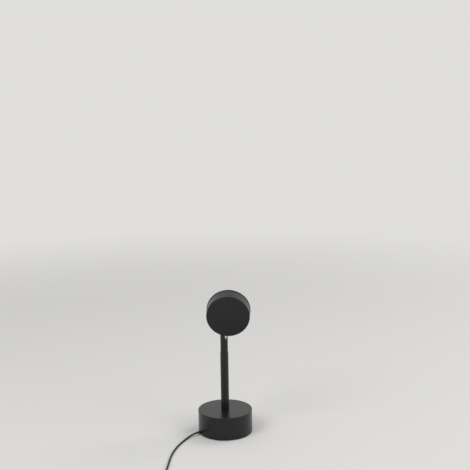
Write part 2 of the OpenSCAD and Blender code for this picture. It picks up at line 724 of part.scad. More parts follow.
// how many turns in from the outside the cord is after t loops
function turns_in(t) = let (m = t % (2 * coil_turns)) m < coil_turns ? m : 2 * coil_turns - m;

// height after t loops: a layer is climbed in the half turn about each reversal
function coil_height(t) = coil_z + coil_rise * (coil_layers < 2 ? 0
    : [for (k = [1:coil_layers - 1]) ease((t - k * coil_turns + 0.25) / 0.5)] * [for (k = [1:coil_layers - 1]) 1]);

function coil_point(t) = let (r = coil_out_r - coil_pitch * turns_in(t), a = 90 - 360 * t)
    [coil_mid[0] + r * cos(a), coil_mid[1] + r * sin(a), coil_height(t)];

coil_rings = [for (i = [0:round(coil_loops * coil_step)]) coil_point(i / coil_step)];
coil_end = coil_rings[len(coil_rings) - 1];
coil_path = [coil_rings[0] - [cord_d, 0, 0], each coil_rings, coil_end - [cord_d, 0, 0]];
coil_gap = min([for (i = [0:len(coil_rings) - 1]) for (j = [i + coil_step / 2:1:len(coil_rings) - 1])
    norm(coil_rings[i] - coil_rings[j])]) - cord_d;
coil_length = 2 * cord_d + [for (i = [1:len(coil_rings) - 1]) norm(coil_rings[i] - coil_rings[i - 1])]
    * [for (i = [1:len(coil_rings) - 1]) 1];
echo(least_gap_in_coil = coil_gap, length_of_coil = coil_length);

module cord_coil() color(jacket_black) sweep(coil_path, cord_r, 6);

// soft strap that holds the coil together
module coil_strap() color([0.2, 0.2, 0.21]) {
    lo = coil_in_r - cord_r - 0.9;
    hi = coil_out_r + cord_r + 0.2;
    translate([coil_mid[0] + (lo + hi) / 2, coil_mid[1], 0]) rotate([90, 0, 0])
        translate([0, 0, -strap_w / 2]) difference() {
            translate([0, (coil_top_z + 0.2 + strap_t) / 2, 0])
                round_block(hi - lo + 2 * strap_t, coil_top_z + 0.2 + strap_t, strap_w, 1.4 + strap_t);
            translate([0, strap_t + (coil_top_z + 0.2 - strap_t) / 2, -1])
                round_block(hi - lo, coil_top_z + 0.2 - strap_t, strap_w + 2, 1.4);
        }
}

// ---- switch on the cord ----

// one half of the case, from its seam outwards, with a fine groove at the seam
module switch_half(h, edge) soft_block(switch_l, switch_w, h, switch_r, seam_edge, edge);

module switch_cavity() {
    inner_l = switch_l - 2 * switch_wall;
    inner_w = switch_w - 2 * switch_wall;
    translate([0, 0, switch_wall]) round_block(inner_l, inner_w, switch_h - 2 * switch_wall, switch_r - switch_wall);
}

module cord_holes(r) for (s = [0, 180]) rotate([0, 0, s])
    translate([switch_l / 2 - switch_wall - 1, 0, switch_split_z]) lay_x() cylinder(r = r, h = switch_wall + 2);

module switch_bottom() color(dark_plastic)
    in_switch() difference() {
        union() {
            difference() {
                translate([0, 0, switch_split_z]) mirror([0, 0, 1]) switch_half(switch_split_z, switch_foot_edge);
                switch_cavity();
            }
            at_switch_screws() cylinder(r = 2.6, h = switch_split_z);
        }
        cord_holes(boot_r - 0.8 + fit_gap);
        at_switch_screws() {
            translate([0, 0, -1]) cylinder(r = 1.05, h = switch_h);
            translate([0, 0, -1]) cylinder(r = 2.1, h = 2.4);
        }
    }

module switch_top() color(dark_plastic)
    in_switch() difference() {
        union() {
            difference() {
                translate([0, 0, switch_split_z]) switch_half(switch_h - switch_split_z, switch_edge);
                switch_cavity();
            }
            at_switch_screws() translate([0, 0, switch_split_z]) cylinder(r = 2.6, h = switch_split_z - switch_wall);
        }
        cord_holes(boot_r - 0.8 + fit_gap);
        at_switch_screws() translate([0, 0, switch_split_z - 1]) cylinder(r = 1, h = switch_h - switch_wall - switch_split_z);
        translate([0, 0, switch_h - switch_wall - 1]) stadium(button_l, button_w, switch_wall + 2);
    }

module switch_screws() color(steel)
    in_switch() at_switch_screws() translate([0, 0, 1.4]) rotate([180, 0, 0])
        cap_screw(2 - 2 * fit_gap, 7.4, 4, 1.2);

// sealed push switch under the button
module switch_module() color([0.16, 0.16, 0.17])
    in_switch() translate([0, 0, switch_wall]) {
        translate([-module_w / 2, -module_w / 2, 0]) cube([module_w, module_w, module_h]);
        translate([-12, -5, 0]) cube([24, 10, 1]);
    }

module switch_button() color([0.16, 0.16, 0.17])
    in_switch() {
        under_z = switch_h - switch_wall - 1;
        difference() {
            translate([0, 0, under_z]) soft_stadium(button_l - 2 * air_gap, button_w - 2 * air_gap,
                switch_wall + 1 + button_rise, 0.1, button_edge);
            translate([0, 0, switch_h + button_rise - dimple + dimple_r]) sphere(r = dimple_r);
        }
        // ledge that keeps it in, and the foot that works the switch
        translate([0, 0, under_z]) stadium(button_l + 2.4, button_w + 2.4, 1 - face_gap);
        stem_z = switch_wall + module_h + button_travel + face_gap;
        translate([0, 0, stem_z]) cylinder(r = 1.8, h = under_z - stem_z + eps);
    }

// soft sleeves at both ends of the switch
module switch_boots() color(dark_plastic)
    in_switch() for (s = [0, 180]) rotate([0, 0, s]) translate([switch_l / 2, 0, switch_split_z]) lay_x()
        difference() {
            rotate_extrude() polygon([
                [0, -switch_wall - 1], [boot_r, -switch_wall - 1], [boot_r, -switch_wall - fit_gap],
                [boot_r - 0.8, -switch_wall - fit_gap], [boot_r - 0.8, fit_gap], [boot_r, fit_gap],
                [cord_r + 0.6, boot_len], [0, boot_len]]);
            translate([0, 0, boot_len - 1.4]) cylinder(r = cord_r + fit_gap, h = 4);
        }

// ---- plug ----

// moulded grip with side ribs and a tapered tail
module plug_body() color(dark_plastic)
    in_plug() difference() {
        union() {
            translate([relief_tail, 0, 0]) lay_x() rotate([0, 0, 90])
                soft_block(plug_w, plug_h, plug_l, plug_corner, plug_corner, plug_edge);
            lay_x() rotate_extrude() polygon([[0, 0], each ribs(0, relief_tail, 4, cord_r + 0.7, plug_h / 2 - 0.8, 0.4),
                [plug_h / 2 - 1, relief_tail + plug_corner], [0, relief_tail + plug_corner]]);
        }
        for (i = [0:3], s = [-1, 1])
            translate([relief_tail + 8 + 3 * i, s * (plug_w / 2 + 1.1) - 1.5, -plug_h]) cube([1.2, 3, 2 * plug_h]);
        translate([relief_tail + plug_l - usb_in, -usb_w / 2 - fit_gap, -usb_h / 2 - fit_gap])
            cube([10, usb_w + 2 * fit_gap, usb_h + 2 * fit_gap]);
        translate([-1, 0, 0]) lay_x() cylinder(r = cord_r + fit_gap, h = 2.4);
    }

module plug_shell() color(steel)
    in_plug() difference() {
        translate([relief_tail + plug_l - usb_in + fit_gap, -usb_w / 2, -usb_h / 2]) cube([usb_out + usb_in, usb_w, usb_h]);
        translate([relief_tail + plug_l - usb_in - 1, -usb_w / 2 + usb_wall, -usb_h / 2 + usb_wall])
            cube([30, usb_w - 2 * usb_wall, usb_h - 2 * usb_wall]);
        for (y = [-3, 3], z = [-1, 1]) translate([relief_tail + plug_l + 5, y - 1.1, z * usb_h / 2 - 1]) cube([2.4, 2.2, 2]);
    }

module plug_tongue() color([0.93, 0.93, 0.92])
    in_plug() translate([relief_tail + plug_l - usb_in + fit_gap, -tongue_w / 2, -usb_h / 2 + usb_wall + fit_gap])
        cube([usb_out + usb_in - 0.8, tongue_w, tongue_h]);

module plug_contacts() color([0.85, 0.68, 0.3])
    in_plug() for (y = [-3.5, -1, 1, 3.5])
        translate([relief_tail + plug_l - usb_in + fit_gap, y - 0.5, -usb_h / 2 + usb_wall + fit_gap + tongue_h])
            cube([usb_out + usb_in - 2, 1, 0.2]);

foot_pad();
base_plate();
base_plate_screws();
base_weight();
base_shell();
cord_grommet();
cord_entry();
cord_stop();
pole_nipple();
nipple_washer();
nipple_nut();
pole_insert();
pole_tube();
swivel_bush();
base_lead();
neck_stem();
neck_clip();
neck_lead();
pivot_screw();
pivot_washers();
head_shell();
hinge_plate();
hinge_plate_screws();
heat_sink();
heat_sink_screws();
led_board();
led_chip();
optic_tube();
optic_screws();
colour_filter();
filter_ring();
head_lead();
front_bezel();
lens_retainer();
lens();
lens_seal();
cord_run();
switch_bottom();
switch_top();
switch_screws();
switch_module();
switch_button();
switch_boots();
cord_link();
cord_coil();
coil_strap();
cord_tail();
plug_body();
plug_shell();
plug_tongue();
plug_contacts();
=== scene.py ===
import math
import bmesh
import bpy
from mathutils import Matrix, Vector


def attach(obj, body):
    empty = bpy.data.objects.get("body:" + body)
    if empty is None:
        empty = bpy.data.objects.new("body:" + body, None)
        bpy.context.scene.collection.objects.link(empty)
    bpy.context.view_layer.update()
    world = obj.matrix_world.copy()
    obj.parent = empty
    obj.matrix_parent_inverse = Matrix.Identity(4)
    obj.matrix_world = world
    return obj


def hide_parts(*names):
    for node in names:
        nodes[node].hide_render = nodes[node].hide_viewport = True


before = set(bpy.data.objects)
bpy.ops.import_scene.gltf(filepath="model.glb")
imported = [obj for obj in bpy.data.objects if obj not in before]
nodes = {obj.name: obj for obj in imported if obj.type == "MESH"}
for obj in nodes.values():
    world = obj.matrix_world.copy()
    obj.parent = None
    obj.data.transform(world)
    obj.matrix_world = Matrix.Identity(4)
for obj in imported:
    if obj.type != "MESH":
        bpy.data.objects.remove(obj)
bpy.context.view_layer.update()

mm = 0.001


def linearColour(code):  # sRGB hex to the linear values that a shader takes
    parts = [int(code[i:i + 2], 16) / 255 for i in (1, 3, 5)]
    return tuple(c / 12.92 if c <= 0.04045 else ((c + 0.055) / 1.055) ** 2.4 for c in parts) + (1.0,)


def addNode(tree, kind, settings=None, links=None):  # lower-case names are the node's own, the rest are its sockets
    made = tree.nodes.new(kind)
    for name, value in (settings or {}).items():
        if isinstance(name, str) and name[0].islower():
            setattr(made, name, value)
        else:
            made.inputs[name].default_value = value
    for name, socket in (links or {}).items():
        tree.links.new(socket, made.inputs[name])
    return made


def newObject(name, data):
    made = bpy.data.objects.new(name, data)
    bpy.context.scene.collection.objects.link(made)
    return made


# camera: where the photograph was taken from, worked out from the edges of the lamp's base
photoCamera = {
    "place": (75.93 * mm, -1586.9 * mm, 646.2 * mm),
    "down": 11.08, "turned": 2.0, "rolled": -0.8,  # degrees
    "focal": 1000.0, "frame": 470.0,  # pixels
    "sensor": 36.0,  # millimetres
    "near": 0.05, "far": 60.0,  # metres
}


def makeCamera(c):
    data = bpy.data.cameras.new("photoCamera")
    data.sensor_width = c["sensor"]
    data.lens = c["sensor"] * c["focal"] / c["frame"]
    data.clip_start, data.clip_end = c["near"], c["far"]
    camera = newObject("photoCamera", data)
    turn = (Matrix.Rotation(math.radians(c["turned"]), 4, "Z")
            @ Matrix.Rotation(math.radians(90.0 - c["down"]), 4, "X")
            @ Matrix.Rotation(math.radians(c["rolled"]), 4, "Z"))
    camera.matrix_world = Matrix.Translation(c["place"]) @ turn
    bpy.context.scene.camera = camera


makeCamera(photoCamera)
print("camera placed")

# cord: the way it lies, in millimetres, then the wound coil
cordFacts = {
    "diameter": 3.0, "sides": 18,
    "inRelief": (-44.6, -19.86, 4.6),  # how far the hidden end reaches into the base's relief
    "run": [
        (-45.68, -20.34, 4.6), (-48, -21.5, 4.5), (-50.9, -24, 4.05), (-54.2, -27, 3.35), (-57.4, -30.8, 2.65),
        (-60.5, -35.5, 2.05), (-63.4, -40.9, 1.65), (-66, -46.8, 1.5), (-68.8, -53.6, 1.5), (-71.4, -61, 1.5),
        (-73.8, -68.5, 1.5), (-76, -76.4, 1.5), (-77.8, -84.5, 1.5), (-79.3, -92.5, 1.5), (-80.5, -100.5, 1.5),
        (-81.4, -108.5, 1.5), (-82, -116.5, 1.5), (-82.4, -124.5, 1.5), (-82.7, -132.5, 1.5), (-82.9, -140.5, 1.5),
        (-83.2, -148.5, 1.5), (-83.6, -156.5, 1.5), (-84, -164.5, 1.5), (-83.8, -172.5, 1.5), (-82, -180.5, 1.5),
        (-78, -187.7, 1.8), (-72, -193.7, 2.8), (-65, -198, 4.6), (-60, -199.8, 5.8), (-56.5, -200, 6)],
    "inSleeves": [(-53.6, -200, 6), (11.2, -200, 6)],  # and into the switch's two sleeves
    "link": [(12.5, -200, 6), (16, -200, 5.8), (20, -200, 4.9), (25, -200, 3.2), (29.5, -200, 2.2), (33, -200, 2.1)],
    "tail": [
        (33, -243.8, 12.6), (29.5, -243.8, 12.4), (25, -243.8, 11.2), (20, -243.8, 8.9), (15, -243.8, 6.4),
        (10, -243.8, 4.7), (6, -243.8, 4.1)],
    "inPlug": (4.8, -243.8, 4.1),  # and into the plug's grip
}
coilFacts = {
    "middle": (36.0, -221.9), "meanDiameter": 34.5, "turns": 2.625, "layers": 4, "pitch": 3.5, "rise": 3.5,
    "bottom": 2.1, "start": 90, "climb": 0.5,  # degrees where it begins, and the part of a loop in which it climbs
    "stepsPerLoop": 60,
}


def throughPoints(points, steps=4):  # a smooth line through given points
    pts = [Vector(p) for p in points]
    pts = [pts[0] * 2 - pts[1]] + pts + [pts[-1] * 2 - pts[-2]]
    line = []
    for a, b, c, d in zip(pts, pts[1:], pts[2:], pts[3:]):
        for k in range(steps):
            t = k / steps
            line.append(0.5 * (2 * b + (c - a) * t + (2 * a - 5 * b + 4 * c - d) * t * t
                               + (3 * b - a - 3 * c + d) * t ** 3))
    return line + [pts[-2]]


def ease(u):
    return 0.0 if u <= 0 else 1.0 if u >= 1 else u * u * (3 - 2 * u)


def coilLine(c):  # flat spirals, out to in and in to out, each a layer above the last
    outer = (c["meanDiameter"] + c["turns"] * c["pitch"]) / 2
    loops = c["turns"] * c["layers"]
    midX, midY = c["middle"]
    line = []
    for i in range(round(loops * c["stepsPerLoop"]) + 1):
        t = i / c["stepsPerLoop"]
        back = t % (2 * c["turns"])
        back = back if back < c["turns"] else 2 * c["turns"] - back
        layer = sum(ease((t - k * c["turns"] + c["climb"] / 2) / c["climb"]) for k in range(1, c["layers"]))
        radius, angle = outer - c["pitch"] * back, math.radians(c["start"] - 360 * t)
        line.append(Vector((midX + radius * math.cos(angle), midY + radius * math.sin(angle),
                            c["bottom"] + c["rise"] * layer)))
    return line


def lineLength(line):
    return sum((b - a).length for a, b in zip(line, line[1:]))


def newTree(name, sizes):  # a tree whose inputs are a source, named sizes and the finish
    tree = bpy.data.node_groups.new(name, "GeometryNodeTree")
    tree.interface.new_socket("Geometry", in_out="INPUT", socket_type="NodeSocketGeometry")
    for label, value in sizes.items():
        kind = "NodeSocketInt" if isinstance(value, int) else "NodeSocketFloat"
        tree.interface.new_socket(label, in_out="INPUT", socket_type=kind).default_value = value
    tree.interface.new_socket("Finish", in_out="INPUT", socket_type="NodeSocketMaterial")
    tree.interface.new_socket("Geometry", in_out="OUTPUT", socket_type="NodeSocketGeometry")
    return tree, addNode(tree, "NodeGroupInput").outputs


def endTree(tree, geometry, given):
    real = addNode(tree, "GeometryNodeRealizeInstances", links={"Geometry": geometry})
    dressed = addNode(tree, "GeometryNodeSetMaterial", links={"Geometry": real.outputs["Geometry"],
                                                              "Material": given["Finish"]})
    addNode(tree, "NodeGroupOutput", links={"Geometry": dressed.outputs["Geometry"]})
    return tree


def roundTube():  # geometry nodes: a round section swept along a curve, capped
    tree, given = newTree("roundTube", {"Diameter": 0.003, "Sides": 16})
    half = addNode(tree, "ShaderNodeMath", {"operation": "MULTIPLY", 1: 0.5}, {0: given["Diameter"]})
    section = addNode(tree, "GeometryNodeCurvePrimitiveCircle", {"mode": "RADIUS"},
                      {"Resolution": given["Sides"], "Radius": half.outputs[0]})
    swept = addNode(tree, "GeometryNodeCurveToMesh", {"Fill Caps": True},
                    {"Curve": given["Geometry"], "Profile Curve": section.outputs["Curve"]})
    return endTree(tree, swept.outputs["Mesh"], given)


def turnedForm():  # geometry nodes: a profile spun round the Z axis, closed where it meets the axis
    tree, given = newTree("turnedForm", {"Spine": 0.001, "Steps": 96, "Join": 0.00001})
    spine = addNode(tree, "GeometryNodeCurvePrimitiveCircle", {"mode": "RADIUS"},
                    {"Resolution": given["Steps"], "Radius": given["Spine"]})
    swept = addNode(tree, "GeometryNodeCurveToMesh",
                    links={"Curve": spine.outputs["Curve"], "Profile Curve": given["Geometry"]})
    closed = addNode(tree, "GeometryNodeMergeByDistance", links={"Geometry": swept.outputs["Mesh"],
                                                                 "Distance": given["Join"]})
    return endTree(tree, closed.outputs["Geometry"], given)


def stitchRow():  # geometry nodes: short threads lying along a curve at even steps
    tree, given = newTree("stitchRow", {"Spacing": 0.002, "Length": 0.0015, "Thickness": 0.0003})
    spots = addNode(tree, "GeometryNodeCurveToPoints", {"mode": "LENGTH"},
                    {"Curve": given["Geometry"], "Length": given["Spacing"]})
    thread = addNode(tree, "GeometryNodeMeshUVSphere", {"Segments": 8, "Rings": 6, "Radius": 0.5})
    size = addNode(tree, "ShaderNodeCombineXYZ", links={"X": given["Thickness"], "Y": given["Thickness"],
                                                        "Z": given["Length"]})
    laid = addNode(tree, "GeometryNodeInstanceOnPoints", links={
        "Points": spots.outputs["Points"], "Instance": thread.outputs["Mesh"], "Rotation": spots.outputs["Rotation"],
        "Scale": size.outputs["Vector"]})
    return endTree(tree, laid.outputs["Instances"], given)


def settled(source, change, name):  # keeps what a modifier makes as a plain mesh, on an object with none
    bpy.context.view_layer.update()
    mesh = bpy.data.meshes.new_from_object(source.evaluated_get(bpy.context.evaluated_depsgraph_get()))
    bpy.data.objects.remove(source)
    mesh.name = name
    print(change, "made", name, "with", len(mesh.polygons), "faces")
    return newObject(name, mesh)


def throughTree(source, tree, inputs, name):
    change = source.modifiers.new(tree.name, "NODES")
    change.node_group = tree
    for item in tree.interface.items_tree:
        if item.in_out == "INPUT" and item.name in inputs:
            change[item.identifier] = inputs[item.name]
    return settled(source, tree.name, name)


def curveAlong(lines, name):  # one open spline for each line of points, in millimetres
    data = bpy.data.curves.new(name, "CURVE")
    data.dimensions = "3D"
    for line in lines:
        spline = data.splines.new("POLY")
        spline.points.add(len(line) - 1)
        for point, place in zip(spline.points, line):
            point.co = (*(Vector(place) * mm), 1.0)
    return newObject(name, data)


def shadeRound(mesh, angle):  # smooth, apart from edges sharper than angle, in degrees
    for face in mesh.polygons:
        face.use_smooth = True
    mesh.set_sharp_from_angle(angle=math.radians(angle))


def standFor(piece, body, slotName, *replaced):
    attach(piece, body)
    if replaced:
        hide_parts(*replaced)


def turnedPiece(name, profile, steps, worn, place, angle):  # profile: radius and height in millimetres
    spine, join = 1.0, 0.002  # millimetres: the ring that the profile is swept along, and what counts as touching
    source = curveAlong([[(r - spine, -z, 0) for r, z in profile]], name)
    inputs = {"Spine": spine * mm, "Steps": steps, "Join": join * mm, "Finish": finish[worn]}
    piece = throughTree(source, turned, inputs, name)
    shell = bmesh.new()
    shell.from_mesh(piece.data)
    bmesh.ops.transform(shell, matrix=place, verts=shell.verts)
    bmesh.ops.recalc_face_normals(shell, faces=shell.faces)
    shell.to_mesh(piece.data)
    shell.free()
    shadeRound(piece.data, angle)
    return piece


def joinedCopy(name, node, worn, body, slotName):  # a solid's own form, its loose triangles joined and shaded round
    mesh = nodes[node].data.copy()
    mesh.name = name
    if "custom_normal" in mesh.attributes:
        mesh.attributes.remove(mesh.attributes["custom_normal"])
    shell = bmesh.new()
    shell.from_mesh(mesh)
    bmesh.ops.remove_doubles(shell, verts=shell.verts, dist=0.001 * mm)
    shell.to_mesh(mesh)
    shell.free()
    shadeRound(mesh, angle=35.0)
    mesh.materials.clear()
    mesh.materials.append(finish[worn])
    source = newObject(name, mesh)
    even = source.modifiers.new("evenShade", "WEIGHTED_NORMAL")
    even.weight, even.keep_sharp = 100, True
    piece = settled(source, "evenShade", name)
    standFor(piece, body, slotName, node)
    return piece


# materials: each is named for what the real surface is
usualNoise = {"From Min": 0.3, "From Max": 0.7}  # a noise texture seldom leaves this band


def perMetre(size):  # a noise or checker scale, from the size of its lumps in millimetres
    return 1000.0 / size


def waveScale(pitch):  # a wave texture's scale, from the distance between its crests in millimetres
    return perMetre(pitch) * 2 * math.pi / 20


def twoTones(f):  # a mix node's settings, from the dark to the light tone of a finish
    return {"data_type": "RGBA", 6: linearColour(f["dark"]), 7: linearColour(f["light"])}


def setSockets(shader, values):  # values that are the same all over a surface
    for socket, value in values.items():
        shader.inputs[socket].default_value = value


def startMaterial(name):
    made = bpy.data.materials.new(name)
    made.use_nodes = True
    tree = made.node_tree
    shader = tree.nodes["Principled BSDF"]
    place = addNode(tree, "ShaderNodeTexCoord").outputs["Object"]
    return made, tree, shader, place


def layBumps(tree, shader, layers):  # each layer is a height and its depth in millimetres, the first one lowest
    normal = None
    for height, depth in layers:
        links = {"Height": height, "Normal": normal} if normal else {"Height": height}
        normal = addNode(tree, "ShaderNodeBump", {"Distance": depth * mm, "Strength": 1.0}, links).outputs["Normal"]
    tree.links.new(normal, shader.inputs["Normal"])


def rubbedAndHighlitEdges(tree, place, reach, patch):  # near one beside a sharp edge, in broken patches, for a paler edge that is partly wear and partly a painted highlight; lengths in millimetres
    softened = addNode(tree, "ShaderNodeBevel", {"samples": 6, "Radius": reach * mm}).outputs["Normal"]
    own = addNode(tree, "ShaderNodeNewGeometry").outputs["Normal"]
    level = addNode(tree, "ShaderNodeVectorMath", {"operation": "DOT_PRODUCT"}, {0: softened, 1: own})
    beside = addNode(tree, "ShaderNodeMapRange", {"From Min": 0.8, "From Max": 0.98, "To Min": 1.0, "To Max": 0.0},
                     {"Value": level.outputs["Value"]})
    wear = addNode(tree, "ShaderNodeTexNoise", {"Scale": perMetre(patch), "Detail": 4.0, "Roughness": 0.6},
                   {"Vector": place})
    patches = addNode(tree, "ShaderNodeMapRange", {"From Min": 0.4, "From Max": 0.62, "To Min": 0.15},
                      {"Value": wear.outputs["Fac"]})
    return addNode(tree, "ShaderNodeMath", {"operation": "MULTIPLY"},
                   {0: beside.outputs["Result"], 1: patches.outputs["Result"]}).outputs[0]


def plainFinish(name, f):  # most finishes: two close tones, a band of roughness, a coarse and a fine grain
    made, tree, shader, place = startMaterial(name)
    coarse = addNode(tree, "ShaderNodeTexNoise", {"Scale": perMetre(f["cloud"]), "Detail": 3.0},
                     {"Vector": place}).outputs["Fac"]
    fine = addNode(tree, "ShaderNodeTexNoise", {"Scale": perMetre(f["grit"])}, {"Vector": place}).outputs["Fac"]
    share = addNode(tree, "ShaderNodeMapRange", usualNoise, {"Value": coarse})
    tone = addNode(tree, "ShaderNodeMix", twoTones(f), {0: share.outputs["Result"]}).outputs[2]
    smooth, dull = f["rough"]
    gloss = addNode(tree, "ShaderNodeMapRange", usualNoise | {"To Min": smooth, "To Max": dull},
                    {"Value": fine}).outputs["Result"]
    bumps = [(fine, f["depth"])]
    if "rubbedAndHighlit" in f:  # handling has worn the edges to another tone, and on the enamels the paler edge is also a painted highlight
        reach, patch, worn = f["rubbedAndHighlit"]
        tone = addNode(tree, "ShaderNodeMix", {"data_type": "RGBA", 7: linearColour(worn)},
                       {0: rubbedAndHighlitEdges(tree, place, reach, patch), 6: tone}).outputs[2]
    if "smudge" in f:  # where hands have wiped it: broad patches, a little duller
        patch, more = f["smudge"]
        hands = addNode(tree, "ShaderNodeTexNoise", {"Scale": perMetre(patch), "Detail": 4.0, "Roughness": 0.6},
                        {"Vector": place})
        wiped = addNode(tree, "ShaderNodeMapRange", {"From Min": 0.5, "From Max": 0.75, "To Max": more},
                        {"Value": hands.outputs["Fac"]})
        gloss = addNode(tree, "ShaderNodeMath", {"operation": "ADD"},
                        {0: gloss, 1: wiped.outputs["Result"]}).outputs[0]
    if "waveDepth" in f:
        bumps.append((coarse, f["waveDepth"]))
    if "turned" in f:  # rings round the Z axis, as a lathe tool leaves them
        ring, depth = f["turned"]
        rings = addNode(tree, "ShaderNodeTexWave", {"wave_type": "RINGS", "rings_direction": "Z",
                                                    "Scale": waveScale(ring), "Distortion": 0.6}, {"Vector": place})
        bumps.append((rings.outputs["Fac"], depth))
    tree.links.new(tone, shader.inputs["Base Color"])
    tree.links.new(gloss, shader.inputs["Roughness"])
    layBumps(tree, shader, bumps)
    setSockets(shader, f["set"])
    return made


# lengths are in millimetres: cloud and grit are the two grains, depth and waveDepth how deep they go, smudge a patch
# and how much duller it is, rubbedAndHighlit the reach, the patch and the paler edge tone (wear, and on the enamels
# also a painted highlight), turned the rings' pitch and depth
finishes = {
    # stoving enamel on the tubes: deep satin black that mirrors softly what stands on it, paler along its edges, partly
    # where they rub and partly as a painted highlight
    "bakedEnamel": {"dark": "#0A0A0B", "light": "#0F0F10", "rough": (0.25, 0.32), "cloud": 1.8, "grit": 0.35,
                    "depth": 0.001, "waveDepth": 0.004, "smudge": (26.0, 0.07), "rubbedAndHighlit": (0.5, 3.0, "#3A3A3C"),
                    "set": {"IOR": 1.46}},
    # the same enamel over the lathe-turned base, whose rings, drawn 0.9 mm apart so that they show, come through it;
    # its paler rim is wear and a painted highlight, stronger than on the tubes
    "turnedEnamel": {"dark": "#0A0A0B", "light": "#0F0F10", "rough": (0.25, 0.32), "cloud": 1.8, "grit": 0.35,
                     "depth": 0.001, "waveDepth": 0.003, "smudge": (26.0, 0.07), "rubbedAndHighlit": (0.7, 5.0, "#444446"),
                     "turned": (0.9, 0.006), "set": {"IOR": 1.46}},
    # the same enamel, matted, on the drawn aluminium head: a fine peel, drawn coarse enough to show, with paler edges
    # that are wear and a painted highlight
    "mattedEnamel": {"dark": "#0B0B0C", "light": "#121213", "rough": (0.29, 0.39), "cloud": 1.4, "grit": 0.45,
                     "depth": 0.006, "waveDepth": 0.008, "smudge": (22.0, 0.06), "rubbedAndHighlit": (0.5, 4.0, "#3E3E40"),
                     "set": {"IOR": 1.46}},
    # moulded rubber: dull, with the mould's fine grain
    "mouldedRubber": {"dark": "#161616", "light": "#1E1E1E", "rough": (0.6, 0.75), "cloud": 6.0, "grit": 0.35,
                      "depth": 0.02, "set": {"IOR": 1.52}},
    # extruded PVC jacket: smooth and slightly waxy
    "cordJacket": {"dark": "#121213", "light": "#181819", "rough": (0.4, 0.52), "cloud": 9.0, "grit": 0.5,
                   "depth": 0.006, "set": {"IOR": 1.53}},
    # thin silicone jacket on the inner lead: softer sheen
    "leadJacket": {"dark": "#141415", "light": "#1B1B1C", "rough": (0.42, 0.54), "cloud": 5.0, "grit": 0.5,
                   "depth": 0.004, "set": {"IOR": 1.43}},
    # zinc plate on pressed steel: bright, faintly cloudy
    "zincPlate": {"dark": "#A9ADB1", "light": "#C3C6C8", "rough": (0.26, 0.38), "cloud": 3.5, "grit": 0.4,
                  "depth": 0.004, "set": {"Metallic": 1.0}},
    # black oxide on a steel screw: oily dark grey
    "blackOxide": {"dark": "#1C1C1E", "light": "#2A2A2C", "rough": (0.3, 0.42), "cloud": 1.2, "grit": 0.25,
                   "depth": 0.003, "set": {"Metallic": 1.0}},
    # sand-cast iron: rough and dull
    "sandCastIron": {"dark": "#38383A", "light": "#4A4847", "rough": (0.6, 0.8), "cloud": 4.0, "grit": 0.6,
                     "depth": 0.08, "set": {"Metallic": 1.0}},
    # natural nylon: milky off-white
    "naturalNylon": {"dark": "#CDC8B8", "light": "#DBD7C9", "rough": (0.42, 0.52), "cloud": 5.0, "grit": 0.6,
                     "depth": 0.004, "set": {"IOR": 1.53, "Subsurface Weight": 0.15}},
    # black nylon turned from rod: dull, with a waxy sheen
    "blackNylon": {"dark": "#111112", "light": "#161617", "rough": (0.4, 0.5), "cloud": 3.0, "grit": 0.4,
                   "depth": 0.006, "set": {"IOR": 1.53}},
    # spark-eroded ABS moulding: even fine grain that kills the gloss, drawn at half a millimetre so that it shows
    "grainedAbs": {"dark": "#121213", "light": "#1A1A1B", "rough": (0.44, 0.6), "cloud": 5.0, "grit": 0.5,
                   "depth": 0.06, "rubbedAndHighlit": (0.5, 2.5, "#2B2B2D"), "set": {"IOR": 1.54}},
    # polished ABS: the button, glossier than its case
    "polishedAbs": {"dark": "#1B1B1D", "light": "#202022", "rough": (0.2, 0.28), "cloud": 9.0, "grit": 0.8,
                    "depth": 0.002, "set": {"IOR": 1.54}},
    # soft PVC moulded over the plug
    "plugPvc": {"dark": "#141415", "light": "#1C1C1D", "rough": (0.48, 0.64), "cloud": 4.0, "grit": 0.35,
                "depth": 0.022, "rubbedAndHighlit": (0.4, 2.0, "#2C2C2E"), "set": {"IOR": 1.53}},
    # nickel plate on drawn steel: the plug's shell
    "nickelPlate": {"dark": "#B3B2AE", "light": "#C6C5C1", "rough": (0.16, 0.26), "cloud": 4.0, "grit": 0.5,
                    "depth": 0.003, "set": {"Metallic": 1.0}},
    # moulded PBT: the plug's tongue, an even white with a slight shine
    "whitePbt": {"dark": "#DDDCD8", "light": "#E6E5E2", "rough": (0.35, 0.45), "cloud": 6.0, "grit": 0.5,
                 "depth": 0.004, "set": {"IOR": 1.57}},
    # flash gold on copper alloy: the plug's contacts
    "flashGold": {"dark": "#D8A94A", "light": "#E6BC62", "rough": (0.2, 0.3), "cloud": 2.0, "grit": 0.3,
                  "depth": 0.002, "set": {"Metallic": 1.0}},
    # cured silicone with phosphor powder over the light source
    "phosphorGel": {"dark": "#E2B92E", "light": "#EBC84A", "rough": (0.3, 0.4), "cloud": 1.0, "grit": 0.2,
                    "depth": 0.01, "set": {"IOR": 1.43, "Subsurface Weight": 0.2}},
    # white solder resist on the round aluminium circuit board
    "solderResist": {"dark": "#DADAD6", "light": "#E4E4E1", "rough": (0.26, 0.36), "cloud": 3.0, "grit": 0.5,
                     "depth": 0.004, "set": {"IOR": 1.5}},
}
finish = {name: plainFinish(name, facts) for name, facts in finishes.items()}

# where the head's solids stand: millimetres, and degrees up from level
headFrame = {"pivot": (0, 0, 171.5), "tilt": 10.5, "shift": (7.9, 0, 35.2)}
aluminiumFacts = {
    "dark": "#B9BBBD", "light": "#C8CACB", "cloud": 5.0, "ring": 1.3, "depth": 0.012, "rough": (0.24, 0.36),
}


